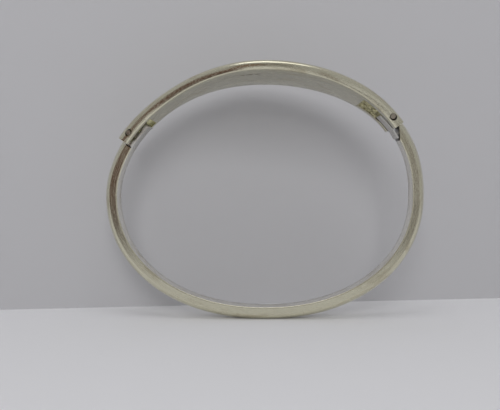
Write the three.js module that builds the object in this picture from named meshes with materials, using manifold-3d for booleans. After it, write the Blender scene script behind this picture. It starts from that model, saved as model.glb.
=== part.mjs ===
// Hinged oval bangle: a wide front plate that tapers towards a narrow back band, joined by a
// pinned hinge at one end and a tongue clasp at the other.
//
// Millimetres. The bangle stands on the lowest point of its back band: +X points towards the
// hinge, +Y along the axis of the ring and +Z up. Directions round the ring are angles from +X
// towards +Z, and every sweep runs from a larger angle to a smaller one, so that its faces
// point outwards.
import * as THREE from 'three';
import { mergeVertices } from 'three/addons/utils/BufferGeometryUtils.js';
import Module from 'manifold-3d';

const wasm = await Module();
wasm.setup();

// ---------------------------------------------------------------- driving dimensions

// Inner outline of the back band: a superellipse, slightly squarer than an ellipse below.
const BAND_OVAL = { halfLength: 29.8, lengthDrift: 0, above: 23.97, below: 22.67 };
// Inner outline of the front plate, which stands a little proud of the band at the clasp.
const PLATE_OVAL = { halfLength: 30.08, lengthDrift: -0.62, above: 24.0, below: 22.67 };
const POWER_ABOVE = 2.03;
const POWER_DRIFT = 0.2;
const POWER_BELOW = 2.14;

const BAND = { width: 4, thickness: 2.36, crown: 0.3, shoulder: 0.95, innerEdge: 0.22, steps: 84 };
const STAND_FLAT = 0.1;                   // depth of the flat worn where the band stands
const CENTRE_HEIGHT = BAND_OVAL.below + BAND.thickness + BAND.crown - STAND_FLAT;

const PLATE = {
  crownAngle: 90, crownWidth: 18.8, crownThickness: 1.95,
  endWidth: 10.4, endThickness: 2.25,
  hingeTaper: 1.1, claspTaper: 3.2,       // how fast the width falls towards either end
  crown: 0.42, shoulder: 1.0, innerEdge: 0.28, steps: 72,
};

const HINGE = { angle: 36.2, pinDepth: 1.1, plateEnd: 2.05, slotBack: -1.15, recessBack: -6.3 };
const CLASP = { angle: 148.9, pinDepth: 1.12, plateEnd: -1.95, recessBack: 4.7 };
// The slots between the cheeks: width, then growth per radian behind a distance from the pin.
const HINGE_SLOT = { width: 6.5, flare: 12, straightTo: HINGE.slotBack + 0.5 };
const CLASP_SLOT = { width: 7.8, flare: 0, straightTo: 0 };
const RECESS_DEPTH = 1.8;
const PIN = { radius: 0.45, boreRadius: 0.6, length: 10.1 };

const KNUCKLE = {
  radius: 0.74, boreRadius: 0.55, width: 6.2, armHigh: 0.72, armWidth: 2.6,
  tenonLow: -0.3, tenonHigh: 0.55, tenonWidth: 2.4, tenonLength: 3,
};
const BAND_START = 2.3;                   // where the outer lip of the band begins, past the pin
const STRIP = { from: -1.7, to: 4.15, thickness: 0.3, width: 4 };
const SOLDER = { low: 0.14, shelf: 0.36 };
const TONGUE = {
  height: 1.86, width: 4, tip: 3.4, notchFrom: -0.66, notchTo: 1.8, notchFloor: 0.1,
  lipThickness: 0.26, lipHeight: 0.28, tenonLow: 0.6, tenonHigh: 1.6, tenonWidth: 2.4, tenonLength: 3,
};
const GAP = 0.05;                         // solder gap between parts that are joined
const END_GAP = 0.15;                     // gap where the two halves of the bangle meet
const ARC_SEGMENTS = 4;
const BEYOND = 6;                         // how far a cutter runs past what it cuts

const radians = THREE.MathUtils.degToRad;

// ---------------------------------------------------------------- outlines

/** The inner outline of one half of the bangle, in the plane of the ring. */
class Oval {
  constructor({ halfLength, lengthDrift, above, below }) {
    Object.assign(this, { halfLength, lengthDrift, above, below });
  }

  /** The point at an angle, moved outwards along the normal by offset. */
  point(angle, offset = 0) {
    const c = Math.cos(angle);
    const s = Math.sin(angle);
    const upper = s >= 0;
    const exponent = 2 / (upper ? POWER_ABOVE + POWER_DRIFT * c : POWER_BELOW);
    const half = this.halfLength + (upper ? this.lengthDrift * c : 0);
    const height = upper ? this.above : this.below;
    const x = half * Math.sign(c) * Math.abs(c) ** exponent;
    const z = height * Math.sign(s) * Math.abs(s) ** exponent;
    const flat = new THREE.Vector3(x, 0, z + CENTRE_HEIGHT);
    return offset === 0 ? flat : flat.addScaledVector(this.normal(angle), offset);
  }

  /** The direction of travel at an angle, towards smaller angles. */
  tangent(angle) {
    const step = 1e-3;
    return this.point(angle - step).sub(this.point(angle + step)).normalize();
  }

  /** The outward direction at an angle. */
  normal(angle) {
    const t = this.tangent(angle);
    return new THREE.Vector3(-t.z, 0, t.x);
  }

  /** The angle whose point lies a distance along a joint's own direction of travel. */
  angleAt(joint, distance) {
    let angle = joint.angle;
    for (let i = 0; i < 30; i++) {
      const along = this.point(angle).sub(joint.origin).dot(joint.tangent);
      angle += (along - distance) / this.halfLength;
    }
    return angle;
  }
}

const bandOval = new Oval(BAND_OVAL);
const plateOval = new Oval(PLATE_OVAL);

/** The axes of a joint at one end of the plate, with its pin at the origin. */
function jointAt({ angle, pinDepth }) {
  const at = radians(angle);
  return {
    angle: at,
    origin: plateOval.point(at, pinDepth),
    tangent: plateOval.tangent(at),
    normal: plateOval.normal(at),
  };
}

const hinge = jointAt(HINGE);
const clasp = jointAt(CLASP);

// ---------------------------------------------------------------- solids

/** A closed geometry as a solid that can be cut and joined. */
function solid(geometry) {
  const bare = geometry.clone();
  bare.deleteAttribute('normal');
  bare.deleteAttribute('uv');
  const merged = mergeVertices(bare, 1e-5);
  return new wasm.Manifold(new wasm.Mesh({
    numProp: 3,
    vertProperties: new Float32Array(merged.attributes.position.array),
    triVerts: new Uint32Array(merged.index.array),
  }));
}

/** A rectangle of a section: x runs along the ring's axis and y outwards. */
function rectangle(width, low, high) {
  const shape = new THREE.Shape();
  shape.moveTo(-width / 2, low);
  shape.lineTo(width / 2, low);
  shape.lineTo(width / 2, high);
  shape.lineTo(-width / 2, high);
  shape.closePath();
  return shape;
}

/** The section of the metal: flat inside, bevelled inner edges, rounded shoulders, low crown. */
function metalSection({ width, thickness, crown, shoulder, innerEdge }) {
  const half = width / 2;
  const flat = half - shoulder;
  const side = thickness - shoulder;
  const shape = new THREE.Shape();
  shape.moveTo(-half + innerEdge, 0);
  shape.lineTo(half - innerEdge, 0);
  shape.lineTo(half, innerEdge);
  shape.lineTo(half, side);
  shape.bezierCurveTo(half, side + shoulder * 0.55, flat + shoulder * 0.5, thickness, flat, thickness);
  shape.quadraticCurveTo(flat / 2, thickness + crown, 0, thickness + crown);
  shape.quadraticCurveTo(-flat / 2, thickness + crown, -flat, thickness);
  shape.bezierCurveTo(-flat - shoulder * 0.5, thickness, -half, side + shoulder * 0.55, -half, side);
  shape.lineTo(-half, innerEdge);
  shape.closePath();
  return shape;
}

/**
 * A section swept round an oval from one angle to a smaller one. fit may widen or thicken the
 * section on its way: it gets the angle and the section's own x and y and returns new ones.
 */
function sweep(oval, section, from, to, steps, fit = (angle, x, y) => [x, y]) {
  const options = { depth: 1, steps, bevelEnabled: false, curveSegments: ARC_SEGMENTS };
  const geometry = new THREE.ExtrudeGeometry(section, options);
  const position = geometry.attributes.position;
  for (let i = 0; i < position.count; i++) {
    const angle = from + (to - from) * position.getZ(i);
    const [across, out] = fit(angle, position.getX(i), position.getY(i));
    const { x, z } = oval.point(angle, out);
    position.setXYZ(i, x, across, z);
  }
  return solid(geometry);
}

/** A section swept between two distances from a joint's pin. */
function sweepAt(joint, oval, section, from, to, steps, fit) {
  return sweep(oval, section, oval.angleAt(joint, from), oval.angleAt(joint, to), steps, fit);
}

/** The room between the two cheeks of the plate, which may widen away from the plate's end. */
function slotRoom(joint, slot, low, high, from, to, steps, clearance = 0) {
  const section = rectangle(slot.width - 2 * clearance, low, high);
  const straightTo = plateOval.angleAt(joint, slot.straightTo);
  const flared = (angle, x, y) => {
    const growth = slot.flare * Math.max(0, angle - straightTo) / 2;
    return [x + Math.sign(x) * growth, y];
  };
  return sweepAt(joint, plateOval, section, from, to, steps, flared);
}

/** A prism across the ring, from points given as [outwards, along] from a joint's pin. */
function prism(joint, outline, width) {
  const shape = new THREE.Shape(outline.map(([out, along]) => new THREE.Vector2(out, along)));
  const geometry = new THREE.ExtrudeGeometry(shape, { depth: width, bevelEnabled: false });
  geometry.translate(0, 0, -width / 2);
  const across = new THREE.Vector3(0, 1, 0);
  const axes = new THREE.Matrix4().makeBasis(joint.normal, joint.tangent, across);
  geometry.applyMatrix4(axes.setPosition(joint.origin));
  return solid(geometry);
}

/** A block across the ring, between two depths and two distances from a joint's pin. */
function block(joint, low, high, from, to, width) {
  return prism(joint, [[low, from], [high, from], [high, to], [low, to]], width);
}

/** A round bar along a joint's pin axis. */
function bar(joint, radius, length, sides) {
  const geometry = new THREE.CylinderGeometry(radius, radius, length, sides);
  geometry.translate(joint.origin.x, joint.origin.y, joint.origin.z);
  return solid(geometry);
}

// ---------------------------------------------------------------- front half

/** How near an angle is to the crown of the plate: 1 there, 0 at either pin. */
function crownShare(angle) {
  const crown = radians(PLATE.crownAngle);
  const end = angle < crown ? hinge.angle : clasp.angle;
  const share = Math.min(1, (angle - crown) / (end - crown));
  return Math.cos(share * Math.PI / 2);
}

/** Widens and thickens the plate's section from either end towards its crown. */
function fitPlate(angle, x, y) {
  const share = Math.max(0, crownShare(angle));
  const taper = angle < radians(PLATE.crownAngle) ? PLATE.hingeTaper : PLATE.claspTaper;
  const grown = (PLATE.crownWidth - PLATE.endWidth) * share ** taper / 2;
  const flat = PLATE.endWidth / 2 - PLATE.shoulder;
  const across = Math.abs(x) <= flat ? x * (1 + grown / flat) : x + Math.sign(x) * grown;
  const thickness = PLATE.endThickness + (PLATE.crownThickness - PLATE.endThickness) * share;
  return [across, y > PLATE.innerEdge ? y * thickness / PLATE.endThickness : y];
}

function frontPlate() {
  const section = metalSection({ ...PLATE, width: PLATE.endWidth, thickness: PLATE.endThickness });
  const from = plateOval.angleAt(clasp, CLASP.plateEnd);
  const to = plateOval.angleAt(hinge, HINGE.plateEnd);
  const through = PLATE.endThickness + 1;
  return sweep(plateOval, section, from, to, PLATE.steps, fitPlate)
    .subtract(slotRoom(hinge, HINGE_SLOT, -1, through, HINGE.slotBack, HINGE.plateEnd + 1, 4))
    .subtract(slotRoom(hinge, HINGE_SLOT, -1, RECESS_DEPTH, HINGE.recessBack, HINGE.slotBack + 0.5, 5))
    .subtract(slotRoom(clasp, CLASP_SLOT, -1, RECESS_DEPTH, CLASP.plateEnd - 1, CLASP.recessBack, 6))
    .subtract(bar(hinge, PIN.boreRadius, PLATE.endWidth + BEYOND, 20))
    .subtract(bar(clasp, PIN.boreRadius, PLATE.endWidth + BEYOND, 20));
}

/** The thin leaf that closes the inside of the hinge and stops it from folding inwards. */
function hingeStrip() {
  return sweepAt(hinge, plateOval, rectangle(STRIP.width, 0, STRIP.thickness), STRIP.from, STRIP.to, 6);
}

/** The bed of solder that fills the recess behind the hinge and holds the leaf's end. */
function stripSolder() {
  const high = RECESS_DEPTH - GAP;
  const back = HINGE.recessBack + GAP;
  return slotRoom(hinge, HINGE_SLOT, SOLDER.shelf, high, back, HINGE.slotBack - GAP, 5, GAP)
    .add(slotRoom(hinge, HINGE_SLOT, SOLDER.low, high, back, STRIP.from - GAP, 5, GAP));
}

// ---------------------------------------------------------------- back half

function backBand() {
  const from = bandOval.angleAt(hinge, BAND_START);
  const to = bandOval.angleAt(clasp, CLASP.plateEnd - END_GAP) - 2 * Math.PI;
  const standing = new THREE.BoxGeometry(BEYOND * 4, BEYOND * 2, BEYOND);
  standing.translate(0, 0, -BEYOND / 2);
  const step = [
    [0.2, BAND_START - 1], [0.2, BAND_START], [-0.35, 3.4],
    [-0.9, STRIP.to + 2 * GAP], [-2, STRIP.to + 2 * GAP], [-2, BAND_START - 1],
  ];
  const socket = KNUCKLE.tenonWidth + 2 * GAP;
  const deep = BAND_START + KNUCKLE.tenonLength + GAP;
  const tongueSocket = rectangle(TONGUE.tenonWidth + 2 * GAP, TONGUE.tenonLow - GAP, TONGUE.tenonHigh + GAP);
  const socketEnd = CLASP.plateEnd - END_GAP - TONGUE.tenonLength - GAP;
  return sweep(bandOval, metalSection(BAND), from, to, BAND.steps)
    .subtract(solid(standing))
    .subtract(prism(hinge, step, BEYOND))
    .subtract(block(hinge, KNUCKLE.tenonLow - GAP, KNUCKLE.tenonHigh + GAP, 0, deep, socket))
    .subtract(sweepAt(clasp, bandOval, tongueSocket, socketEnd, CLASP.plateEnd + 1, 3));
}

/** The barrel that turns on the hinge pin, with the tenon that holds it in the band. */
function hingeKnuckle() {
  const { width, armHigh, armWidth, tenonLow, tenonHigh, tenonWidth } = KNUCKLE;
  const armEnd = BAND_START - GAP;
  const arm = [[-0.2, 0], [armHigh, 0], [armHigh, armEnd], [0.3, armEnd]];
  const tenonEnd = BAND_START + KNUCKLE.tenonLength;
  return bar(hinge, KNUCKLE.radius, width, 24)
    .add(prism(hinge, arm, armWidth))
    .add(block(hinge, tenonLow, tenonHigh, 0, tenonEnd, tenonWidth))
    .subtract(bar(hinge, KNUCKLE.boreRadius, width + 1, 20));
}

/** The clasp's tongue: a notch for the catch pin, a thin neck and a lip for a thumbnail. */
function claspTongue() {
  const from = CLASP.plateEnd - END_GAP + GAP;
  const tenon = rectangle(TONGUE.tenonWidth, TONGUE.tenonLow, TONGUE.tenonHigh);
  const lipFrom = TONGUE.tip - TONGUE.lipThickness;
  const notchFloor = TONGUE.notchFloor - CLASP.pinDepth;
  return sweepAt(clasp, bandOval, rectangle(TONGUE.width, 0, TONGUE.height), from, TONGUE.tip, 5)
    .add(sweepAt(clasp, bandOval, tenon, from - TONGUE.tenonLength, from + 0.5, 3))
    .add(sweepAt(clasp, bandOval, rectangle(TONGUE.width, -TONGUE.lipHeight, 1), lipFrom, TONGUE.tip, 1))
    .subtract(block(clasp, notchFloor, BEYOND, TONGUE.notchFrom, TONGUE.notchTo, BEYOND));
}

// ---------------------------------------------------------------- assembly

/** A named mesh from a solid, with its own finish. */
function part(name, manifold, color, roughness, metalness = 1) {
  const { vertProperties, triVerts } = manifold.getMesh();
  const geometry = new THREE.BufferGeometry();
  geometry.setAttribute('position', new THREE.BufferAttribute(vertProperties, 3));
  geometry.setIndex(new THREE.BufferAttribute(triVerts, 1));
  geometry.computeVertexNormals();
  const mesh = new THREE.Mesh(geometry, new THREE.MeshStandardMaterial({ color, roughness, metalness }));
  mesh.name = name;
  return mesh;
}

const frontHalf = new THREE.Group();
frontHalf.add(
  part('front_plate', frontPlate(), 0xb9b3a4, 0.24),
  part('hinge_pin', bar(hinge, PIN.radius, PIN.length, 20), 0xcdc8bd, 0.3),
  part('catch_pin', bar(clasp, PIN.radius, PIN.length, 20), 0xcdc8bd, 0.3),
  part('hinge_strip', hingeStrip(), 0xb4afa2, 0.35),
  part('strip_solder', stripSolder(), 0xb7a56a, 0.55),
);

const backHalf = new THREE.Group();
backHalf.add(
  part('back_band', backBand(), 0xb3a895, 0.26),
  part('hinge_knuckle', hingeKnuckle(), 0xaea794, 0.35),
  part('clasp_tongue', claspTongue(), 0xbdb7a6, 0.3),
);

const bangle = new THREE.Group();
bangle.add(backHalf, frontHalf);

export default bangle;
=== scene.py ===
"""The bangle bracelet: fine meshes, silver finishes and a small studio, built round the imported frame.

A hinged bangle is made the way a silversmith makes one. Each half is worked flat, as a straight
bar whose recesses and slots are cut first, and is then bent to its oval. Sizes are millimetres
while a piece is worked, and the finished mesh is scaled to metres.

In the ring's plane, angles run from +X towards +Z. A walk along an outline goes towards smaller
angles: from the clasp over the crown to the hinge, and on round the back band.
"""
import logging
import math
from collections.abc import Callable, Iterable
from dataclasses import dataclass
from enum import Enum

import bmesh
import bpy
import numpy as np
from mathutils import Matrix, Vector, noise


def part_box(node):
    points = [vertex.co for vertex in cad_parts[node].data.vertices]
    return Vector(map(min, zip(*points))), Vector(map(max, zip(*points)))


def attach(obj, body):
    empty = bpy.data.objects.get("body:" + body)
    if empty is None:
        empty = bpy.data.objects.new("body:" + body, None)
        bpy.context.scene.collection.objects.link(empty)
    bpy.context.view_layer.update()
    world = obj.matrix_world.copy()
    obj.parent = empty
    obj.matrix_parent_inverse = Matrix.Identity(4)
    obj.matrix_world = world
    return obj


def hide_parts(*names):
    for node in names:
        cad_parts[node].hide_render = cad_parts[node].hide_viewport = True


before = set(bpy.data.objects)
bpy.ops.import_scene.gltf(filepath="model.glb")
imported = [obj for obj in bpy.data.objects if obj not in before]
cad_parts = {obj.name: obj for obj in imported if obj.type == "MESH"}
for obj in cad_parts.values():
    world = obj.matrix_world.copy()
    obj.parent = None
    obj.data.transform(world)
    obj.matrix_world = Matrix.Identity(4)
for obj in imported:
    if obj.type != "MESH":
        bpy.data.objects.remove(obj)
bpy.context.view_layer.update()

METRES = 0.001                # one millimetre, in metres
WORKED = "worked"             # the attribute that keeps where each point lay before bending
TOUCHING = 1e-4               # points nearer than this are one point, in mm
CLEAN_CUT = 2e-4              # the same after a boolean
SLACK = 0.01                  # how far past a surface a choice of faces reaches, in mm
log = logging.getLogger("bangle")

Triple = tuple[float, float, float]
Colour = Triple
Outline = list[tuple[float, float]]
BMesh = bmesh.types.BMesh
Object = bpy.types.Object
Socket = bpy.types.NodeSocket


class Body(str, Enum):
    """The two halves of the bangle that turn on the hinge."""

    BACK = "back_half"
    FRONT = "front_half"


class Slot(str, Enum):
    """The material slots of the record."""

    PLATE = "plate_silver"
    BAND = "band_silver"
    PIN = "pin_silver"
    FITTING = "fitting_silver"
    SOLDER = "solder"


# ---- outlines of the two halves


@dataclass(frozen=True)
class Oval:
    """The inner outline of one half of the bangle, a superellipse in the plane of the ring."""

    half_length: float
    length_drift: float
    above: float = 24.0
    below: float = 22.67
    centre_height: float = 25.23
    power_above: float = 2.03
    power_drift: float = 0.2
    power_below: float = 2.14

    def point(self, angle: float, out: float = 0.0) -> Vector:
        """Finds a point of the outline.

        Args:
            angle: Direction from the centre, in radians.
            out: How far the point is moved outwards.

        Returns:
            The point, in millimetres, with y at zero.
        """
        c, s = math.cos(angle), math.sin(angle)
        upper = s >= 0
        power = 2 / (self.power_above + self.power_drift * c if upper else self.power_below)
        half = self.half_length + (self.length_drift * c if upper else 0)
        height = self.above if upper else self.below
        x = half * math.copysign(abs(c) ** power, c)
        z = height * math.copysign(abs(s) ** power, s) + self.centre_height
        flat = Vector((x, 0, z))
        return flat if out == 0 else flat + self.normal(angle) * out

    def tangent(self, angle: float) -> Vector:
        """Returns the direction of travel at an angle, towards smaller angles."""
        step = 1e-3
        return (self.point(angle - step) - self.point(angle + step)).normalized()

    def normal(self, angle: float) -> Vector:
        """Returns the outward direction at an angle."""
        along = self.tangent(angle)
        return Vector((-along.z, 0, along.x))


BAND_OVAL = Oval(half_length=29.8, length_drift=0, above=23.97)
PLATE_OVAL = Oval(half_length=30.08, length_drift=-0.62)


@dataclass(frozen=True)
class PinFrame:
    """A joint's own axes: outwards, along the ring and across it, with the pin at the origin."""

    angle: float
    origin: Vector
    along: Vector
    out: Vector

    @classmethod
    def at_node(cls, node: str, degrees: float) -> "PinFrame":
        """Sets a joint on a pin's node, at its angle on the plate's outline in degrees."""
        low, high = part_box(node)
        angle = math.radians(degrees)
        middle = (low + high) / 2 / METRES
        return cls(angle, middle, PLATE_OVAL.tangent(angle), PLATE_OVAL.normal(angle))

    def place(self, out: float, along: float, across: float = 0.0) -> Vector:
        """Returns the point at these distances from the pin."""
        return self.origin + self.out * out + self.along * along + Vector((0, across, 0))


HINGE = PinFrame.at_node("hinge_pin", 36.2)
CLASP = PinFrame.at_node("catch_pin", 148.9)


class Track:
    """An outline measured along its length from a joint, to bend flat work onto."""

    STEPS = 1440

    def __init__(self, oval: Oval, start: PinFrame) -> None:
        """Measures an outline once round, with the length zero at the joint where it starts."""
        self.oval = oval
        lead = 0.6
        self.angles = np.linspace(start.angle + lead, start.angle + lead - 2 * math.pi, self.STEPS)
        self.points = np.array([oval.point(angle) for angle in self.angles])
        strides = np.linalg.norm(np.diff(self.points, axis=0), axis=1)
        self.lengths = np.concatenate([[0.0], np.cumsum(strides)])
        level = (self.points - np.array(start.origin)) @ np.array(start.along)
        near = slice(0, self.STEPS // 4)
        self.lengths -= np.interp(0.0, level[near], self.lengths[near])

    def angle_at(self, along: float) -> float:
        """Returns the angle reached after a length along the outline."""
        return float(np.interp(along, self.lengths, self.angles))

    def length_to(self, angle: float) -> float:
        """Returns the length along the outline at which an angle is reached."""
        return float(np.interp(-angle, -self.angles, self.lengths))

    def place(self, along: float, across: float, out: float) -> Vector:
        """Returns where a point of the flat work lies once it is bent."""
        point = self.oval.point(self.angle_at(along), out)
        point.y = across
        return point

    def flatten(self, points: np.ndarray) -> np.ndarray:
        """Finds where bent points lay on the flat work.

        Args:
            points: One row of x, y and z for each point, in millimetres.

        Returns:
            One row for each point: along, across and outwards.
        """
        flat = self.points[:, (0, 2)]
        bent = points[:, (0, 2)]
        apart = ((bent[:, None, :] - flat[None, ::4, :]) ** 2).sum(2)
        nearest = apart.argmin(1) * 4
        steps = np.gradient(flat, axis=0)
        steps /= np.linalg.norm(steps, axis=1)[:, None]
        offset = bent - flat[nearest]
        tangent = steps[nearest]
        along = self.lengths[nearest] + (offset * tangent).sum(1)
        out = offset[:, 1] * tangent[:, 0] - offset[:, 0] * tangent[:, 1]
        return np.stack([along, points[:, 1], out], axis=1)


PLATE_TRACK = Track(PLATE_OVAL, CLASP)
BAND_TRACK = Track(BAND_OVAL, HINGE)
TONGUE_TRACK = Track(BAND_OVAL, CLASP)
HINGE_LENGTH = PLATE_TRACK.length_to(HINGE.angle)     # from pin to pin along the plate
PUNCHES = ((92.5, 0.7), (95.5, 0.9), (98.0, 0.7))     # each punch mark's angle and half length
PUNCHED = PLATE_TRACK.length_to(math.radians(PUNCHES[1][0]))


# ---- working metal


@dataclass(frozen=True)
class Section:
    """The section of a bar: flat inside, softened inner edges, round shoulders and a low crown."""

    width: float
    thickness: float
    crown: float
    shoulder: float
    inner_edge: float
    keep: float = 0.0             # half width in the middle that stays as it is when the bar widens
    shoulder_steps: int = 9
    edge_steps: int = 3
    crown_steps: int = 6
    keep_steps: int = 3           # points from the middle to the edge of what is kept

    def half_outline(self) -> Outline:
        """Draws one side of the section.

        Returns:
            Points of across and outwards, from the inner middle to the outer.
        """
        half, edge, reach = self.width / 2, self.inner_edge, self.shoulder
        flat = half - reach
        side = self.thickness - reach
        points = [(0.0, 0.0)]
        inner = [self.keep * i / self.keep_steps for i in range(1, self.keep_steps + 1)] if self.keep else []
        points += [(across, 0.0) for across in inner]
        for i in range(self.edge_steps + 1):
            turn = math.pi / 2 * i / self.edge_steps
            points.append((half - edge + edge * math.sin(turn), edge - edge * math.cos(turn)))
        slope = 1.5 * self.crown / flat
        end = Vector((flat, self.thickness))
        handles = [
            Vector((half, side)), Vector((half, side + reach * 0.55)),
            end + Vector((reach * 0.5, -reach * 0.5 * slope)), end,
        ]
        for i in range(self.shoulder_steps + 1):
            t = i / self.shoulder_steps
            weights = ((1 - t) ** 3, 3 * t * (1 - t) ** 2, 3 * t * t * (1 - t), t ** 3)
            at = sum((h * w for h, w in zip(handles, weights)), Vector((0, 0)))
            points.append((at.x, at.y))
        for i in range(1, self.crown_steps):
            across = flat + (self.keep - flat) * i / self.crown_steps
            points.append((across, self.crown_height(across, flat)))
        points += [(across, self.crown_height(across, flat)) for across in reversed(inner)]
        points.append((0.0, self.thickness + self.crown))
        return points

    def crown_height(self, across: float, flat: float) -> float:
        """Returns how high the low crown stands at a distance from the middle."""
        return self.thickness + self.crown * (1 - (across / flat) ** 2)


class FlatBar:
    """A straight bar that is cut and bevelled flat: x runs along it, y across and z outwards."""

    def __init__(self, outline: Outline, start: float, ladder: bool = False) -> None:
        """Draws the section at the bar's start.

        Args:
            outline: One side of the section, from its inner middle to its outer.
            start: Where the bar starts.
            ladder: Whether its end is laid out in rungs, so that it can be sloped later.
        """
        self.mesh = bmesh.new()
        new = self.mesh.verts.new
        right = [new((start, across, out)) for across, out in outline]
        left = [point if abs(point.co.y) < 1e-9 else new((start, -point.co.y, point.co.z)) for point in right]
        if ladder:
            for i in range(len(right) - 1):
                rung = dict.fromkeys((left[i], right[i], right[i + 1], left[i + 1]))
                if len(rung) > 2:
                    self.mesh.faces.new(rung)
        else:
            self.mesh.faces.new(dict.fromkeys(right + left[::-1]))
        self.end = start
        self.last = [*self.mesh.faces, *self.mesh.edges, *self.mesh.verts]

    def draw_to(self, end: float, pitch: float) -> "FlatBar":
        """Draws the bar on to a new end, in rings no further apart than the pitch."""
        steps = max(1, math.ceil((end - self.end) / pitch))
        stride = Vector(((end - self.end) / steps, 0, 0))
        made = bmesh.ops.spin(
            self.mesh, geom=self.last, cent=(0, 0, 0), axis=(1, 0, 0), dvec=stride, angle=0.0,
            steps=steps, use_merge=False, use_normal_flip=False, use_duplicate=False,
        )
        self.last = made["geom_last"]
        self.end = end
        return self

    def faces_where(self, test: Callable[[Vector], bool]) -> list[bmesh.types.BMFace]:
        """Returns the faces whose middle passes a test."""
        return [face for face in self.mesh.faces if test(face.calc_center_median())]

    def push(self, faces: list[bmesh.types.BMFace], distance: float) -> None:
        """Extrudes faces of the inner or outer surface outwards by a distance."""
        edges = {edge for face in faces for edge in face.edges}
        made = bmesh.ops.extrude_face_region(self.mesh, geom=[*faces, *edges])
        moved = [item for item in made["geom"] if isinstance(item, bmesh.types.BMVert)]
        bmesh.ops.translate(self.mesh, verts=moved, vec=(0, 0, distance))

    def open_edges(self, test: Callable[[Vector], bool] = lambda at: True) -> list[bmesh.types.BMEdge]:
        """Returns the open edges whose two ends pass a test."""
        return [e for e in self.mesh.edges if e.is_boundary and all(test(v.co) for v in e.verts)]

    def soften(self, width: float, segments: int = 2, sharper_than: float = 55.0) -> None:
        """Bevels every edge that is sharper than an angle in degrees."""
        bmesh.ops.recalc_face_normals(self.mesh, faces=self.mesh.faces)
        limit = math.radians(sharper_than)
        sharp = [e for e in self.mesh.edges if len(e.link_faces) == 2 and e.calc_face_angle() > limit]
        bmesh.ops.bevel(
            self.mesh, geom=sharp, offset=width, offset_type="OFFSET", segments=segments,
            profile=0.5, affect="EDGES", clamp_overlap=True, material=-1,
        )

    def bend(self, track: Track, fit: Callable[[float, Vector], Vector] | None = None) -> "FlatBar":
        """Bends the bar to an outline, once fit has moved each flat point for its angle."""
        for point in self.mesh.verts:
            at = point.co.copy()
            if fit is not None:
                at = fit(track.angle_at(at.x), at)
            point.co = track.place(at.x, at.y, at.z)
        return self


def round_bar(axis: PinFrame, profile: Outline, steps: int = 40) -> BMesh:
    """Turns a round piece about a pin's axis.

    Args:
        axis: The joint whose pin axis it is turned about.
        profile: Points of radius and distance across, from pole to pole.
        steps: How many steps the turn has.
    """
    mesh = bmesh.new()
    points = [mesh.verts.new((radius, across, 0)) for radius, across in profile]
    edges = [mesh.edges.new(pair) for pair in zip(points, points[1:])]
    bmesh.ops.spin(
        mesh, geom=points + edges, cent=(0, 0, 0), axis=(0, 1, 0), angle=2 * math.pi,
        steps=steps, use_merge=True, use_duplicate=False,
    )
    bmesh.ops.remove_doubles(mesh, verts=mesh.verts, dist=TOUCHING)
    bmesh.ops.recalc_face_normals(mesh, faces=mesh.faces)
    bmesh.ops.translate(mesh, verts=mesh.verts, vec=axis.origin)
    return mesh


def add_object(name: str, data: bpy.types.ID) -> Object:
    """Puts a mesh, a light or a camera in the scene."""
    made = bpy.data.objects.new(name, data)
    bpy.context.scene.collection.objects.link(made)
    return made


def add_mesh(name: str, mesh: BMesh) -> Object:
    """Puts a bmesh in the scene as it is, and frees it."""
    data = bpy.data.meshes.new(name)
    mesh.to_mesh(data)
    mesh.free()
    return add_object(name, data)


def as_object(name: str, mesh: BMesh) -> Object:
    """Makes a scene object of a worked bmesh, with its points joined and its faces turned out."""
    bmesh.ops.remove_doubles(mesh, verts=mesh.verts, dist=TOUCHING)
    bmesh.ops.recalc_face_normals(mesh, faces=mesh.faces)
    return add_mesh(name, mesh)


def carve(piece: Object, tool: BMesh, operation: str) -> None:
    """Applies one exact boolean, a UNION or a DIFFERENCE, and leaves no modifier on the piece."""
    cutter = as_object("cutter", tool)
    modifier = piece.modifiers.new("carve", "BOOLEAN")
    modifier.operation = operation
    modifier.solver = "EXACT"
    modifier.object = cutter
    result = bpy.data.meshes.new_from_object(piece.evaluated_get(bpy.context.evaluated_depsgraph_get()))
    piece.modifiers.clear()
    piece.data = result
    bpy.data.objects.remove(cutter)


def cut(piece: Object, tools: Iterable[BMesh]) -> None:
    """Cuts tools out of a piece and leaves its mesh finished, with no modifier on it."""
    for tool in tools:
        carve(piece, tool, "DIFFERENCE")
    clean = bmesh.new()
    clean.from_mesh(piece.data)
    bmesh.ops.remove_doubles(clean, verts=clean.verts, dist=CLEAN_CUT)
    bmesh.ops.dissolve_degenerate(clean, edges=clean.edges, dist=CLEAN_CUT)
    clean.to_mesh(piece.data)
    clean.free()


def dress(
    piece: Object, body: Body, node: str, track: Track, finish: "Finish",
    smooth_below: float = 38.0,
) -> None:
    """Scales a worked piece to metres, dresses it and hands it to the frame.

    Args:
        piece: The worked piece, in millimetres.
        body: The half of the bangle that it rides on.
        node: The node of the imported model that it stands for.
        track: The outline to which it was bent.
        finish: The finish that dresses it.
        smooth_below: Edges flatter than this many degrees are shaded smooth.
    """
    data = piece.data
    data.name = piece.name
    points = np.array([v.co for v in data.vertices])
    worked = data.attributes.new(WORKED, "FLOAT_VECTOR", "POINT")
    worked.data.foreach_set("vector", track.flatten(points).astype(np.float32).ravel())
    data.transform(Matrix.Scale(METRES, 4))
    data.shade_smooth()
    data.set_sharp_from_angle(angle=math.radians(smooth_below))
    data.materials.clear()
    data.materials.append(finish.material())
    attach(piece, body.value)
    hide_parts(node)
    faces = sum(len(face.vertices) - 2 for face in data.polygons)
    log.info("%s: %d triangles, rides on %s, stands for %s", piece.name, faces, body.value, node)


# ---- finishes


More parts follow.
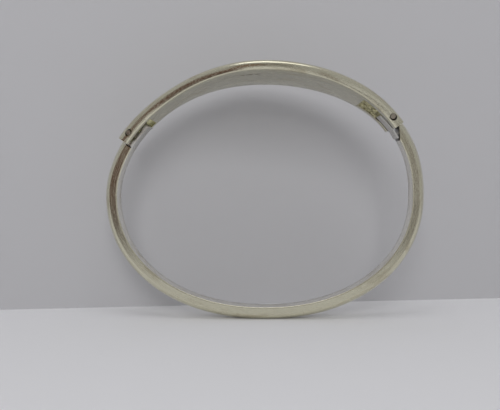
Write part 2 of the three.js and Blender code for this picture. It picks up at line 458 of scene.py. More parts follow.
class NodeBoard:
    """One material's node tree, with short ways to lay and link its nodes."""

    def __init__(self, name: str) -> None:
        """Starts a material that holds a shader, its output and the worked position."""
        self.material = bpy.data.materials.new(name)
        self.material.use_nodes = True
        self.tree = self.material.node_tree
        self.tree.nodes.clear()
        output = self.node("ShaderNodeOutputMaterial")
        self.shader = self.node("ShaderNodeBsdfPrincipled")
        self.link(self.shader.outputs["BSDF"], output.inputs["Surface"])
        position = self.node("ShaderNodeAttribute")
        position.attribute_name = WORKED
        self.position = position.outputs["Vector"]

    def node(self, kind: str, **settings: object) -> bpy.types.Node:
        """Adds a node of a kind and applies its settings."""
        made = self.tree.nodes.new(kind)
        for key, value in settings.items():
            setattr(made, key, value)
        return made

    def link(self, source: Socket, target: Socket) -> None:
        """Links one socket to another."""
        self.tree.links.new(source, target)

    def grain(
        self, scale: Triple, detail: float = 3.0, roughness: float = 0.55,
        offset: float = 0.0, turn: float = 0.0, distortion: float = 0.0,
    ) -> Socket:
        """Lays a noise over the flat work.

        Args:
            scale: How many features there are to a millimetre along, across and outwards.
            detail: Octaves of the noise.
            roughness: How strong the fine octaves are.
            offset: Moves the pattern, so that two grains differ.
            turn: Turns the pattern in the plane of the bar, in degrees.
            distortion: How much the noise is stirred.
        """
        mapping = self.node("ShaderNodeMapping")
        mapping.inputs["Location"].default_value = (offset, offset * 0.7, offset * 1.3)
        mapping.inputs["Rotation"].default_value = (0, 0, math.radians(turn))
        mapping.inputs["Scale"].default_value = scale
        self.link(self.position, mapping.inputs["Vector"])
        texture = self.node("ShaderNodeTexNoise")
        texture.inputs["Scale"].default_value = 1.0
        texture.inputs["Detail"].default_value = detail
        texture.inputs["Roughness"].default_value = roughness
        texture.inputs["Distortion"].default_value = distortion
        self.link(mapping.outputs["Vector"], texture.inputs["Vector"])
        return texture.outputs["Fac"]

    def spread(
        self, value: Socket, low: float, high: float, to_low: float = 0.0, to_high: float = 1.0,
    ) -> Socket:
        """Maps a value from one range to another, smoothly and clamped at both ends."""
        mapped = self.node("ShaderNodeMapRange", interpolation_type="SMOOTHSTEP", clamp=True)
        for name, number in (("From Min", low), ("From Max", high), ("To Min", to_low), ("To Max", to_high)):
            mapped.inputs[name].default_value = number
        self.link(value, mapped.inputs["Value"])
        return mapped.outputs["Result"]

    def sums(
        self, operation: str, first: Socket, second: Socket | float,
    ) -> Socket:
        """Joins two values with a math operation."""
        made = self.node("ShaderNodeMath", operation=operation)
        self.link(first, made.inputs[0])
        if isinstance(second, float):
            made.inputs[1].default_value = second
        else:
            self.link(second, made.inputs[1])
        return made.outputs["Value"]

    def blend(
        self, factor: Socket,
        first: Colour | Socket,
        second: Colour | Socket,
    ) -> Socket:
        """Mixes two colours by a factor."""
        made = self.node("ShaderNodeMix", data_type="RGBA")
        self.link(factor, made.inputs["Factor"])
        for socket, colour in ((made.inputs[6], first), (made.inputs[7], second)):
            if isinstance(colour, tuple):
                socket.default_value = (*colour, 1.0)
            else:
                self.link(colour, socket)
        return made.outputs[2]

    def axis(self, name: str) -> Socket:
        """Returns X, Y or Z of the worked position: along, across or outwards."""
        split = self.node("ShaderNodeSeparateXYZ")
        self.link(self.position, split.inputs["Vector"])
        return split.outputs[name]

    def near_bore(self, length: float, depth: float, radius: float, stretch: float) -> Socket:
        """Marks the bore of a pin, for its painted shade: 1 inside it and 0 outside. Stretch lengthens it
        along the bar.
        """
        flat = self.node("ShaderNodeVectorMath", operation="MULTIPLY")
        flat.inputs[1].default_value = (1 / stretch, 0, 1)
        self.link(self.position, flat.inputs[0])
        apart = self.node("ShaderNodeVectorMath", operation="DISTANCE")
        apart.inputs[1].default_value = (length / stretch, 0, depth)
        self.link(flat.outputs["Vector"], apart.inputs[0])
        return self.spread(apart.outputs["Value"], radius, radius + 0.06, 1.0, 0.0)

    def sloped_end(self) -> Socket:
        """Marks the sloped end of the back band, for its painted shade: 1 on it and 0 past it."""
        run_per_rise, foot = 1.79, 4.68       # how far the slope runs for each mm outwards, and its inner end
        level = self.sums("ADD", self.axis("X"), self.sums("MULTIPLY", self.axis("Z"), run_per_rise))
        return self.spread(level, foot, foot + 0.12, 1.0, 0.0)

    def recessed(self) -> Socket:
        """Marks the recesses between the cheeks and the punch marks, for their grime and painted shade: 1 on
        their walls and floors, 0 elsewhere.
        """
        wall, punch_reach = 4.6, 2.8          # half widths: between the cheeks, and along the punch marks
        floor, rim = 1.82, 0.07               # how far out the recess ends and starts
        across = self.sums("ABSOLUTE", self.axis("Y"), 0.0)
        between = self.spread(across, wall, wall + 0.3, 1.0, 0.0)
        out = self.axis("Z")
        struck = self.sums("ABSOLUTE", self.sums("SUBTRACT", self.axis("X"), PUNCHED), 0.0)
        punched = self.spread(struck, punch_reach, punch_reach + 0.2, 1.0, 0.0)
        shallow = self.sums("MULTIPLY", punched, self.spread(out, 0.008, 0.02))
        sunk = self.sums("MAXIMUM", self.spread(out, rim, rim + 0.08), shallow)
        deep = self.sums("MULTIPLY", sunk, self.spread(out, floor, floor + 0.08, 1.0, 0.0))
        return self.sums("MULTIPLY", between, deep)

    def bump(self, height: Socket, depth: float) -> None:
        """Lays a relief of a depth in millimetres on top of what the shader's normal already has."""
        made = self.node("ShaderNodeBump")
        made.inputs["Strength"].default_value = 1.0
        made.inputs["Distance"].default_value = depth * METRES
        self.link(height, made.inputs["Height"])
        normal = self.shader.inputs["Normal"]
        if normal.is_linked:
            self.link(normal.links[0].from_socket, made.inputs["Normal"])
        self.link(made.outputs["Normal"], normal)


RECESS_SHADE: Colour = (0.06, 0.05, 0.03)        # painted shade for the hinge's recess and the punch marks
# Painted shade in the bores round the pins.
BORE_SHADE: Colour = (0.02, 0.016, 0.01)
# Painted shade on the band's sloped end by the hinge.
END_SHADE: Colour = (0.03, 0.024, 0.015)
# Where each bore lies along and out, how wide it is, and how much longer it is along the bar; its colour is
# painted shade.
PLATE_BORES = ((HINGE_LENGTH + 0.14, 1.05, 0.65, 1.0), (0.0, 1.12, 0.5, 1.36))


@dataclass(frozen=True)
class Finish:
    """Worn silver: its colours, how dull it is, its scratches, ripples and tarnish, and any painted shade in
    its recesses, bores and sloped end.
    """

    name: str
    metal: Colour = (0.73, 0.705, 0.55)
    inner_metal: Colour | None = None     # the colour of the polished inner side
    tarnish: Colour = (0.32, 0.25, 0.14)
    tarnish_share: float = 0.35       # how much of the surface the thin tarnish clouds
    polished: float = 0.2
    dull: float = 0.36
    ripple: float = 0.005             # depth of the slow ripples left by filing, in mm
    scratch: float = 0.002            # depth of the fine scratches, in mm
    pits: float = 0.0                 # depth of a rough cast grain, in mm
    recess_grime_and_shade: Colour | None = None   # grime and painted shade in the clasp's recess; when set, the hinge's recess, the punch marks and the bores get painted shade too
    shaded_end: bool = False            # whether the sloped end by the hinge gets painted shade
    speck_from: float = 0.56          # noise above which the fine specks start

    def material(self) -> bpy.types.Material:
        """Builds the finish, or gives back the one that is already built."""
        known = bpy.data.materials.get(self.name)
        if known is not None:
            return known
        board = NodeBoard(self.name)
        cloud = board.grain((0.16, 0.3, 0.5), detail=5, roughness=0.62, offset=3.1, distortion=0.6)
        specks = board.grain((1.6, 2.2, 2.2), detail=4, roughness=0.7, offset=11.0)
        stain = board.sums("MULTIPLY", board.spread(cloud, 0.46, 0.72), self.tarnish_share)
        speckled = board.spread(specks, self.speck_from, self.speck_from + 0.18)
        fine = board.sums("MULTIPLY", speckled, self.tarnish_share * 0.8)
        both = board.sums("MAXIMUM", stain, fine)
        lengthwise = board.grain((0.35, 9.0, 9.0), detail=6, roughness=0.65, offset=1.7)
        crosswise = board.grain((7.0, 0.5, 6.0), detail=4, roughness=0.6, offset=8.3, turn=27)
        scratches = board.sums("ADD", board.spread(lengthwise, 0.5, 0.68), board.spread(crosswise, 0.6, 0.74))
        colour = self.metal
        if self.inner_metal:
            colour = board.blend(board.spread(board.axis("Z"), 0.0, 0.12), self.inner_metal, self.metal)
        colour = board.blend(both, colour, self.tarnish)
        # Grime and painted shade in the recesses, lighter by the clasp and darkest in the hinge's recess and
        # the punch marks.
        if self.recess_grime_and_shade:
            past_clasp = board.spread(board.axis("X"), 8.0, 15.0)
            settled_and_shaded = board.blend(past_clasp, self.recess_grime_and_shade, RECESS_SHADE)
            colour = board.blend(board.recessed(), colour, settled_and_shaded)
            # Painted shade in the bores round the pins.
            for bore in PLATE_BORES:
                colour = board.blend(board.near_bore(*bore), colour, BORE_SHADE)
        # Painted shade on the sloped end of the band.
        if self.shaded_end:
            colour = board.blend(board.sloped_end(), colour, END_SHADE)
        board.link(colour, board.shader.inputs["Base Color"])
        wear = board.sums("ADD", board.sums("MULTIPLY", board.spread(lengthwise, 0.35, 0.7), 0.6), both)
        board.link(board.spread(wear, 0.1, 0.9, self.polished, self.dull), board.shader.inputs["Roughness"])
        board.shader.inputs["Metallic"].default_value = 1.0
        if self.ripple:
            board.bump(board.grain((0.22, 0.55, 0.55), detail=2, offset=5.5), self.ripple)
        if self.scratch:
            board.bump(scratches, -self.scratch)
        if self.pits:
            board.bump(board.grain((3.4, 3.4, 3.4), detail=6, roughness=0.7, offset=2.0), self.pits)
        return board.material


# The plate's colour carries painted shade in its recesses, punch marks and bores.
PLATE_FINISH = Finish("worn_shaded_plate_silver", recess_grime_and_shade=(0.60, 0.58, 0.36))
# The band's colour carries painted shade on its sloped end by the hinge.
BAND_FINISH = Finish(
    "worn_shaded_band_silver", inner_metal=(0.90, 0.88, 0.82), tarnish_share=0.4, polished=0.22, shaded_end=True,
)
PIN_FINISH = Finish("filed_pin_silver", metal=(0.46, 0.41, 0.33), polished=0.28, dull=0.42, tarnish_share=0.3)
FITTING_FINISH = Finish(
    "satin_fitting_silver", metal=(0.74, 0.73, 0.69), polished=0.26, dull=0.45, tarnish_share=0.4,
    ripple=0.006,
)
# The knuckle's very dark colour is partly tarnish and partly painted shade, for a part set deep in the
# hinge's slot.
KNUCKLE_SHADED_FINISH = Finish(
    "grimy_shaded_knuckle_silver", metal=(0.20, 0.17, 0.11), tarnish=(0.05, 0.04, 0.02), tarnish_share=0.7,
    polished=0.4, dull=0.6,
)
SOLDER_FINISH = Finish(
    "rough_solder", metal=(0.95, 0.90, 0.55), tarnish=(0.07, 0.055, 0.015), tarnish_share=1.0,
    polished=0.18, dull=0.5, ripple=0.0, scratch=0.0, pits=0.3, speck_from=0.42,
)


# ---- the front half


SLOT_HALF = 3.25              # half width of the slot at the hinge, where the bar is laid out
CLASP_SLOT_HALF = 3.9         # half width of the slot at the clasp
SLOT_FLARE = 6.0              # how fast half the hinge's recess widens, in mm per radian
SLOT_WIDEST = 4.62            # half width at which the recess stops widening
SLOT_STRAIGHT = -0.65         # how far from the hinge pin the slot stays straight
RECESS_DEPTH = 1.8


@dataclass
class FrontPlate:
    """The wide plate of the front half, with its two pairs of cheeks."""

    section: Section = Section(10.4, 2.25, crown=0.42, shoulder=1.0, inner_edge=0.28, keep=SLOT_HALF)
    crown_width: float = 18.8
    crown_thickness: float = 1.95
    crown_angle: float = 90.0
    hinge_taper: float = 1.1
    clasp_taper: float = 3.2
    clasp_end: float = -1.95
    clasp_recess: float = 4.7
    hinge_recess: float = -6.3
    slot_back: float = -1.15
    hinge_end: float = 2.05
    edge: float = 0.07
    pitch: float = 0.32
    punch_depth: float = 0.16
    punch_across: float = -4.0

    def crown_share(self, angle: float) -> float:
        """Returns how near an angle is to the crown of the plate: 1 there, 0 at either pin."""
        crown = math.radians(self.crown_angle)
        end = HINGE.angle if angle < crown else CLASP.angle
        return math.cos(min(1.0, (angle - crown) / (end - crown)) * math.pi / 2)

    def slot_rim(self, angle: float, share: float) -> float:
        """Returns how far across the edge of the slots lies, at an angle and its crown share."""
        if angle < math.radians(self.crown_angle):
            behind = angle - PLATE_TRACK.angle_at(HINGE_LENGTH + SLOT_STRAIGHT)
            return min(SLOT_WIDEST, SLOT_HALF + SLOT_FLARE * max(0.0, behind))
        return CLASP_SLOT_HALF + (SLOT_WIDEST - CLASP_SLOT_HALF) * share

    def fit(self, angle: float, at: Vector) -> Vector:
        """Moves a flat point as the plate widens and thins from either end towards its crown."""
        share = max(0.0, self.crown_share(angle))
        taper = self.hinge_taper if angle < math.radians(self.crown_angle) else self.clasp_taper
        grown = (self.crown_width - self.section.width) / 2 * share ** taper
        flat = self.section.width / 2 - self.section.shoulder
        across = abs(at.y)
        rim = self.slot_rim(angle, share)
        if across > flat:
            wide = across + grown
        elif across <= SLOT_HALF:
            wide = across * rim / SLOT_HALF
        else:
            wide = rim + (flat + grown - rim) * (across - SLOT_HALF) / (flat - SLOT_HALF)
        thickness = self.section.thickness + (self.crown_thickness - self.section.thickness) * share
        thinned = at.z * thickness / self.section.thickness if at.z > self.section.inner_edge else at.z
        if across < flat and at.z > self.section.thickness:
            thinned = thickness + self.section.crown * (1 - (wide / (flat + grown)) ** 2)
            thinned += (at.z - self.section.crown_height(across, flat)) * 0.5
        return Vector((at.x, math.copysign(wide, at.y), thinned))

    def sink_recess(self, bar: FlatBar, low: float, high: float) -> None:
        """Sinks the recess between a pair of cheeks, from one length along the flat plate to another."""
        floor = bar.faces_where(lambda at: abs(at.z) < SLACK and abs(at.y) < SLOT_HALF and low < at.x < high)
        bar.push(floor, RECESS_DEPTH)

    def remove_end(self, bar: FlatBar, end: float) -> None:
        """Takes away the flat faces that close one end of the bar."""
        closing = bar.faces_where(lambda at: abs(at.x - end) < TOUCHING)
        bmesh.ops.delete(bar.mesh, geom=closing, context="FACES")

    def work(self) -> FlatBar:
        """Draws the plate flat, sinks its recesses and cuts the slot of the hinge."""
        hinge_end = HINGE_LENGTH + self.hinge_end
        slot_back = HINGE_LENGTH + self.slot_back
        bar = FlatBar(self.section.half_outline(), self.clasp_end)
        for end in (self.clasp_recess, HINGE_LENGTH + self.hinge_recess, slot_back, hinge_end):
            bar.draw_to(end, self.pitch)
        self.sink_recess(bar, self.clasp_end, self.clasp_recess)
        self.sink_recess(bar, HINGE_LENGTH + self.hinge_recess, hinge_end)
        self.remove_end(bar, self.clasp_end)
        bmesh.ops.holes_fill(bar.mesh, edges=bar.open_edges(), sides=0)
        self.remove_end(bar, hinge_end)
        through = bar.faces_where(
            lambda at: at.x > slot_back and abs(at.y) < SLOT_HALF and at.z > RECESS_DEPTH - SLACK
        )
        bmesh.ops.delete(bar.mesh, geom=through, context="FACES")
        inside = SLOT_HALF + SLACK
        rims = bar.open_edges(lambda at: abs(at.y) < inside and at.z > RECESS_DEPTH - SLACK)
        bmesh.ops.bridge_loops(bar.mesh, edges=rims)
        bmesh.ops.holes_fill(bar.mesh, edges=bar.open_edges(), sides=0)
        bar.soften(self.edge)
        return bar

    def bores(self) -> list[BMesh]:
        """Returns the tools that open the worn bores round the two pins."""
        reach = self.section.width / 2 + 2
        rod = [(0, -reach), (1, -reach), (1, reach), (0, reach)]
        tools = []
        for joint, along, out, shift in ((HINGE, 0.64, 0.62, 0.15), (CLASP, 0.68, 0.5, 0.0)):
            tool = round_bar(joint, rod)
            turn = Matrix((joint.along, (0, 1, 0), joint.out)).transposed().to_4x4()
            stretch = turn @ Matrix.Diagonal((along, 1, out, 1)) @ turn.inverted()
            centre = joint.place(-shift * 0.35, shift * 0.93)
            bmesh.ops.transform(
                tool, verts=tool.verts,
                matrix=Matrix.Translation(centre) @ stretch @ Matrix.Translation(-joint.origin),
            )
            tools.append(tool)
        return tools

    def punch_marks(self) -> list[BMesh]:
        """Returns the tools of three plain maker's punches, struck into the inner side."""
        tools = []
        for degrees, size in PUNCHES:
            angle = math.radians(degrees)
            tool = bmesh.new()
            bmesh.ops.create_cone(
                tool, cap_ends=True, segments=12, radius1=size, radius2=size * 0.7,
                depth=self.punch_depth * 2,
            )
            bmesh.ops.scale(tool, verts=tool.verts, vec=(1, 0.45, 1))
            along, out = PLATE_OVAL.tangent(angle), PLATE_OVAL.normal(angle)
            turn = Matrix((along, out.cross(along), out)).transposed().to_4x4()
            centre = PLATE_OVAL.point(angle) + Vector((0, self.punch_across, 0))
            bmesh.ops.transform(tool, verts=tool.verts, matrix=Matrix.Translation(centre) @ turn)
            tools.append(tool)
        return tools

    def build(self) -> None:
        """Makes the plate and dresses it."""
        bar = self.work().bend(PLATE_TRACK, self.fit)
        piece = as_object("silver_front_plate", bar.mesh)
        cut(piece, self.bores() + self.punch_marks())
        dress(piece, Body.FRONT, "front_plate", PLATE_TRACK, PLATE_FINISH)


@dataclass
class HingeLeaf:
    """The thin leaf that closes the inside of the hinge, and the solder that holds it."""

    start: float = -1.7
    end: float = 4.15
    width: float = 4.0
    thickness: float = 0.3
    solder_start: float = -6.25
    solder_end: float = -1.2
    solder_top: float = 0.3
    lump: float = 0.5

    def build(self) -> None:
        """Makes the leaf and its bed of solder."""
        half = self.width / 2
        outline = [(0, 0), (half, 0), (half, self.thickness), (0, self.thickness)]
        bar = FlatBar(outline, HINGE_LENGTH + self.start).draw_to(HINGE_LENGTH + self.end, 0.25)
        bar.soften(0.06)
        leaf = as_object("hinge_leaf", bar.bend(PLATE_TRACK).mesh)
        dress(leaf, Body.FRONT, "hinge_strip", PLATE_TRACK, FITTING_FINISH)
        self.build_solder()

    def build_solder(self) -> None:
        """Makes the lumpy solder that fills the recess behind the hinge."""
        half, columns = SLOT_HALF - 0.05, 16
        top = [(half * i / columns, self.solder_top) for i in range(columns + 1)]
        outline = [*top, (half, RECESS_DEPTH - 0.05), (0, RECESS_DEPTH - 0.05)]
        start, end = HINGE_LENGTH + self.solder_start, HINGE_LENGTH + self.solder_end
        bar = FlatBar(outline, start).draw_to(end, 0.16)
        leaf = HINGE_LENGTH + self.start
        for point in bar.mesh.verts:
            at = point.co
            if at.z > self.solder_top + SLACK:
                continue
            rough = noise.fractal(Vector((at.x * 1.5, at.y * 1.5, 4.2)), 0.8, 2.0, 4)
            climb = 0.22 * (abs(at.y) / half) ** 6 + 0.2 * max(0.0, 1 - (at.x - start) / 0.5)
            beneath_leaf = at.x > leaf - 0.1
            lowest, sag = (0.34, 0.12) if beneath_leaf else (0.03, 0.0)
            at.z = min(0.9, max(lowest, self.solder_top + self.lump * rough - climb + sag))
        plate = FrontPlate()

        def widen(angle: float, at: Vector) -> Vector:
            """Widens the solder as the recess widens."""
            return Vector((at.x, at.y * plate.slot_rim(angle, 0.0) / SLOT_HALF, at.z))

        piece = as_object("leaf_solder", bar.bend(PLATE_TRACK, widen).mesh)
        dress(piece, Body.FRONT, "strip_solder", PLATE_TRACK, SOLDER_FINISH, smooth_below=60)


@dataclass
class Pin:
    """A pin through both cheeks, with its ends peened into low domes."""

    name: str
    joint: PinFrame
    node: str
    radius: float = 0.46
    head: float = 0.5
    reach: float = 5.2            # from the middle of the pin to the edge of its domed end
    dome: float = 0.03

    def build(self) -> None:
        """Makes the pin and dresses it."""
        steps = 5
        turns = [math.pi / 2 * i / steps for i in range(steps + 1)]
        end = [(self.head * math.sin(turn), self.reach + self.dome * math.cos(turn)) for turn in turns]
        shank = [(self.head, self.reach - 0.08), (self.radius, self.reach - 0.3)]
        side = end + shank
        profile = side + [(radius, -across) for radius, across in reversed(side)]
        piece = as_object(self.name, round_bar(self.joint, profile, steps=32))
        dress(piece, Body.FRONT, self.node, PLATE_TRACK, PIN_FINISH, smooth_below=50)


# ---- the back half


@dataclass
class BackBand:
    """The narrow band that goes round the back of the wrist."""

    section: Section = Section(4.0, 2.36, crown=0.3, shoulder=0.95, inner_edge=0.22)
    start: float = 2.3
    gap: float = 0.15
    rungs: tuple = (0.4, 0.6, 0.75, 0.95, 1.15, 1.3)      # heights of extra points on the side face
    slope_corners: tuple = ((0.2, 4.27), (0.75, 3.4), (1.3, 2.3))     # how far out, and where it ends
    slope_end: float = 8.0        # where the sloped end has run out into the plain bar
    pitch: float = 0.4
    edge: float = 0.06

    def end_at(self, out: float) -> float:
        """Returns where the sloped end lies at a height: the inner side stands back from the leaf."""
        heights, ends = zip(*self.slope_corners)
        return float(np.interp(out, heights, ends))

    def slope(self, angle: float, at: Vector) -> Vector:
        """Slopes the hinge end of the flat bar back towards its inner side."""
        if at.x >= self.slope_end:
            return at
        end = self.end_at(at.z)
        share = (at.x - self.start) / (self.slope_end - self.start)
        return Vector((end + (self.slope_end - end) * share, at.y, at.z))

    def outline(self) -> Outline:
        """Returns the section's half outline, with rungs where the sloped end turns."""
        points = self.section.half_outline()[1:]
        on_side = [i for i, (across, _) in enumerate(points) if across > self.section.width / 2 - 1e-6]
        first, side = on_side[0], on_side[-1]
        rungs = [(self.section.width / 2, out) for out in self.rungs]
        sides = sorted({*rungs, points[first], *points[first + 1:side + 1]}, key=lambda point: point[1])
        return points[:first] + sides + points[side + 1:]

    def build(self) -> None:
        """Makes the band and dresses it."""
        clasp_end = TONGUE_TRACK.angle_at(FrontPlate.clasp_end - self.gap) - 2 * math.pi
        bar = FlatBar(self.outline(), self.start, ladder=True)
        bar.draw_to(self.slope_end, self.pitch).draw_to(BAND_TRACK.length_to(clasp_end), self.pitch)
        bar.soften(self.edge)
        bar.bend(BAND_TRACK, self.slope)
        for point in bar.mesh.verts:
            point.co.z = max(0.0, point.co.z)      # the flat on which the bangle stands
        piece = as_object("silver_back_band", bar.mesh)
        dress(piece, Body.BACK, "back_band", BAND_TRACK, BAND_FINISH)


@dataclass
class HingeKnuckle:
    """The barrel that turns on the hinge pin, with the arm that joins it to the band."""

    radius: float = 0.74
    bore: float = 0.52
    width: float = 6.2
    arm_width: float = 2.6
    arm_top: float = 0.72
    arm_end: float = 2.6
    arm_low: float = 0.3
    barrel_low: float = -0.2      # how far in the arm's lower side leaves the barrel
    rounding: float = 0.06

    def arm(self) -> BMesh:
        """Returns the arm, a block from inside the barrel to the band."""
        half = self.arm_width / 2
        top, end = self.arm_top, self.arm_end
        outline = [(top, end), (top, 0), (self.barrel_low, 0), (self.arm_low, end)]
        mesh = bmesh.new()
        mesh.faces.new([mesh.verts.new(HINGE.place(out, along, -half)) for out, along in outline])
        made = bmesh.ops.extrude_face_region(mesh, geom=mesh.faces[:])
        moved = [item for item in made["geom"] if isinstance(item, bmesh.types.BMVert)]
        bmesh.ops.translate(mesh, verts=moved, vec=(0, self.arm_width, 0))
        return mesh

    def barrel(self) -> BMesh:
        """Returns the barrel, a tube turned about the pin with rounded rims."""
        half, soft = self.width / 2, self.rounding
        profile = [
            (self.bore, -half), (self.radius - soft, -half), (self.radius, -half + soft),
            (self.radius, half - soft), (self.radius - soft, half), (self.bore, half), (self.bore, -half),
        ]
        return round_bar(HINGE, profile)

    def build(self) -> None:
        """Makes the knuckle and dresses it."""
        piece = as_object("hinge_barrel", self.barrel())
        carve(piece, self.arm(), "UNION")
        cut(piece, [round_bar(HINGE, [(0, -4), (self.bore, -4), (self.bore, 4), (0, 4)])])
        dress(piece, Body.BACK, "hinge_knuckle", PLATE_TRACK, KNUCKLE_SHADED_FINISH)


@dataclass
class ClaspTongue:
    """The tongue of the clasp: a notch that hooks the catch pin, a thin neck and a lip."""

    width: float = 4.0
    neck: float = 0.66
    height: float = 1.86
    tip: float = 3.4
    notch: tuple[float, float] = (-0.66, 1.8)
    lip: float = 0.28
    lip_width: float = 0.26
    nose_fall: float = 0.5        # how much lower the nose is at its tip, to ride over the pin

    def build(self) -> None:
        """Makes the tongue and dresses it."""
        half, neck = self.width / 2, self.neck
        start = FrontPlate.clasp_end - BackBand.gap - 0.3
        bar = FlatBar([(0, 0), (half, 0), (half, neck), (0, neck)], start)
        for end in (*self.notch, self.tip - self.lip_width, self.tip):
            bar.draw_to(end, 0.3)
        notch, rise = self.notch, self.height - neck
        bar.push(bar.faces_where(lambda at: abs(at.z - neck) < TOUCHING and at.x < notch[0]), rise)
        bar.push(bar.faces_where(lambda at: abs(at.z - neck) < TOUCHING and at.x > notch[1]), rise)
        lip_start = self.tip - self.lip_width
        bar.push(bar.faces_where(lambda at: abs(at.z) < TOUCHING and at.x > lip_start), -self.lip)
        for point in bar.mesh.verts:
            if point.co.z > self.height - SLACK and point.co.x > notch[1]:
                point.co.z -= self.nose_fall * (point.co.x - notch[1]) / (self.tip - notch[1])
        bar.soften(0.06)
        piece = as_object("clasp_hook", bar.bend(TONGUE_TRACK).mesh)
        dress(piece, Body.BACK, "clasp_tongue", TONGUE_TRACK, FITTING_FINISH)


# ---- the studio


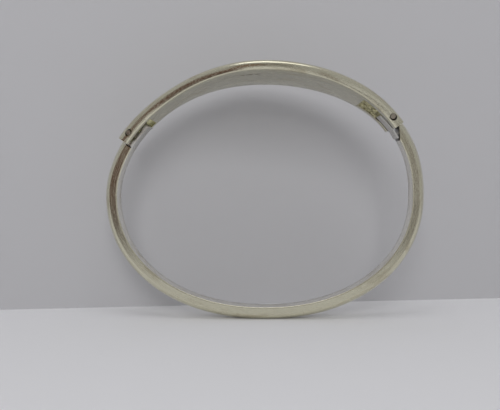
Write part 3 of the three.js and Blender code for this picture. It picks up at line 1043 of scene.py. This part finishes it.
@dataclass(frozen=True)
class Studio:
    """A plain pale floor, a wall close behind the bangle, soft light and the camera."""

    eye: Triple = (-0.000454, -0.130, 0.02738)
    pitch_down: float = 1.805
    turn_left: float = 1.083
    lens: float = 45.68
    wall_behind: float = 0.0158   # how far behind the ring's plane the wall stands
    wall_turn: float = 8.2
    card_y: float = -133.0        # where the coloured cards hang, in millimetres
    lit_point: Triple = (0, 0, 0.02)      # what the lights face

    def camera(self) -> None:
        """Sets the camera."""
        data = bpy.data.cameras.new("camera")
        data.lens = self.lens
        data.sensor_width = 36
        data.clip_start = 0.001
        eye = add_object("camera", data)
        eye.location = self.eye
        eye.rotation_euler = (math.radians(90 - self.pitch_down), 0, math.radians(self.turn_left))
        bpy.context.scene.camera = eye

    def paper(self, name: str, colour: Colour, one_sided: bool) -> bpy.types.Material:
        """Makes a matt paper. A one-sided paper is clear from behind and hides nothing from there."""
        material = bpy.data.materials.new(name)
        material.use_nodes = True
        tree = material.node_tree
        shader = tree.nodes["Principled BSDF"]
        shader.inputs["Roughness"].default_value = 0.75
        grain = tree.nodes.new("ShaderNodeTexNoise")
        grain.inputs["Scale"].default_value = 60
        grain.inputs["Detail"].default_value = 4
        place = tree.nodes.new("ShaderNodeTexCoord")
        tree.links.new(place.outputs["Object"], grain.inputs["Vector"])
        mix = tree.nodes.new("ShaderNodeMix")
        mix.data_type = "RGBA"
        mix.inputs[6].default_value = (*(c * 0.985 for c in colour), 1)
        mix.inputs[7].default_value = (*colour, 1)
        tree.links.new(grain.outputs["Fac"], mix.inputs["Factor"])
        tree.links.new(mix.outputs[2], shader.inputs["Base Color"])
        if one_sided:
            geometry = tree.nodes.new("ShaderNodeNewGeometry")
            clear = tree.nodes.new("ShaderNodeBsdfTransparent")
            choose = tree.nodes.new("ShaderNodeMixShader")
            tree.links.new(geometry.outputs["Backfacing"], choose.inputs["Fac"])
            tree.links.new(shader.outputs["BSDF"], choose.inputs[1])
            tree.links.new(clear.outputs["BSDF"], choose.inputs[2])
            tree.links.new(choose.outputs["Shader"], tree.nodes["Material Output"].inputs["Surface"])
        return material

    def sheet(
        self, name: str, size: tuple[float, float], matrix: Matrix, material: bpy.types.Material,
    ) -> Object:
        """Lays a flat sheet of a size in metres, which faces +Z before the matrix places it."""
        mesh = bmesh.new()
        bmesh.ops.create_grid(mesh, x_segments=1, y_segments=1, size=0.5)
        bmesh.ops.scale(mesh, verts=mesh.verts, vec=(*size, 1))
        bmesh.ops.transform(mesh, verts=mesh.verts, matrix=matrix)
        made = add_mesh(name, mesh)
        made.data.materials.append(material)
        return made

    def room(self) -> None:
        """Lays the floor and sets the wall."""
        floor = self.paper("floor_paper", (0.80, 0.80, 0.82), one_sided=False)
        wall = self.paper("wall_paper", (0.475, 0.472, 0.486), one_sided=True)
        self.sheet("floor", (1.6, 1.6), Matrix.Identity(4), floor)
        upright = Matrix.Rotation(math.radians(90), 4, "X")
        turned = Matrix.Rotation(math.radians(self.wall_turn), 4, "Z")
        stand = Matrix.Translation((0, self.wall_behind, 0.25))
        self.sheet("wall", (1.2, 0.5), stand @ turned @ upright, wall)

    def soft_light(
        self, name: str, at: Triple, size: tuple[float, float], power: float,
        glossy: bool = True,
    ) -> None:
        """Hangs a soft light, unseen itself, that polished metal mirrors only if it is glossy.

        Args:
            name: The light's name.
            at: Where it hangs, in metres. It faces the bangle.
            size: Its width and height in metres.
            power: Its power in watts.
            glossy: Whether polished metal mirrors it.
        """
        data = bpy.data.lights.new(name, "AREA")
        data.shape = "RECTANGLE"
        data.size, data.size_y = size
        data.energy = power
        lamp = add_object(name, data)
        lamp.location = at
        lamp.rotation_euler = (Vector(self.lit_point) - Vector(at)).to_track_quat("-Z", "Y").to_euler()
        lamp.visible_camera = False
        lamp.visible_glossy = glossy

    def card(
        self, name: str, left: float, right: float, low: float, high: float, colour: Colour,
    ) -> None:
        """Hangs a glowing card behind the camera that only the polished metal sees.

        Left and right are the x of its sides, low and high the heights of its edges, in millimetres.
        """
        material = bpy.data.materials.new(name)
        material.use_nodes = True
        tree = material.node_tree
        glow = tree.nodes.new("ShaderNodeEmission")
        glow.inputs["Color"].default_value = (*colour, 1)
        tree.links.new(glow.outputs["Emission"], tree.nodes["Material Output"].inputs["Surface"])
        middle = Vector(((left + right) / 2, self.card_y, (low + high) / 2)) * METRES
        stand = Matrix.Translation(middle) @ Matrix.Rotation(math.radians(-90), 4, "X")
        made = self.sheet(name, ((right - left) * METRES, (high - low) * METRES), stand, material)
        made.visible_camera = made.visible_diffuse = made.visible_shadow = made.visible_transmission = False

    def lights(self) -> None:
        """Hangs the lights and the cards and sets the room's own light."""
        self.soft_light("key_softbox", (0.0, -0.62, 0.32), (0.34, 0.30), 1.72, glossy=False)
        self.soft_light("top_softbox", (0.0, -0.14, 0.42), (0.30, 0.24), 0.3)
        dark = (0.035, 0.03, 0.025)
        self.card("warm_card_left", -150, -40, 14, 56, (0.09, 0.042, 0.028))
        self.card("warm_card_right", 46, 64, 14, 50, (0.08, 0.046, 0.034))
        self.card("dark_card_left", -120, -34, 0, 14, dark)
        self.card("dark_card_right", 34, 120, 0, 14, dark)
        self.card("copper_card", -60, -6, 56, 92, (0.15, 0.085, 0.05))
        self.card("dark_card_top", -6, 20, 60, 92, (0.07, 0.055, 0.04))
        world = bpy.data.worlds.new("studio")
        bpy.context.scene.world = world
        world.use_nodes = True
        background = world.node_tree.nodes["Background"]
        background.inputs["Color"].default_value = (0.98, 0.98, 1.0, 1)
        background.inputs["Strength"].default_value = 0.39

    def build(self) -> None:
        """Sets up the whole studio."""
        bpy.context.scene.view_settings.view_transform = "Standard"
        self.camera()
        self.room()
        self.lights()


def main() -> None:
    """Builds the bangle half by half, then the studio."""
    logging.basicConfig(level=logging.INFO, format="%(name)s: %(message)s")
    FrontPlate().build()
    HingeLeaf().build()
    Pin("peened_hinge_pin", HINGE, "hinge_pin").build()
    Pin("peened_catch_pin", CLASP, "catch_pin", radius=0.44, head=0.45).build()
    BackBand().build()
    HingeKnuckle().build()
    ClaspTongue().build()
    Studio().build()


if __name__ == "__main__":
    main()
